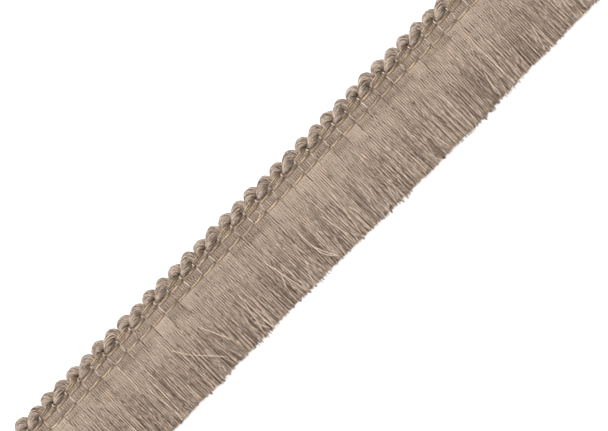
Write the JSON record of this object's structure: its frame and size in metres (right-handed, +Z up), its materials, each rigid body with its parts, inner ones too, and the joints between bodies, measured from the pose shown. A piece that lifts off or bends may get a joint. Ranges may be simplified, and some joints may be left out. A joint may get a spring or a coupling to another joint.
{
  "type": "brush fringe trim",
  "caption": "Cut length of brush fringe trim: a woven heading with a scalloped cord edge, rows of gold warp yarn and a brush of cut threads, lying flat face up.",
  "frame": {"origin": "middle of the trim's length and of its overall width, on the surface it lies on", "axes": "+X along the trim, +Y across it from the cut threads to the scalloped edge, +Z up out of its face"},
  "size_m": [0.2898, 0.045, 0.0044],
  "materials": {
    "heading_weave": "matte woven taupe thread with a soft sheen",
    "scallop_yarn": "soft cord of loose taupe strands",
    "gold_yarn": "pale gold yarn with a soft sheen",
    "brush_thread": "cut taupe threads with a soft sheen"
  },
  "bodies": {
    "root": {"heading_band": "heading_weave", "scallop_cord": "scallop_yarn", "upper_warp": "gold_yarn", "middle_warp": "gold_yarn", "lower_warp": "gold_yarn", "brush_skirt": "brush_thread"}
  },
  "joints": []
}
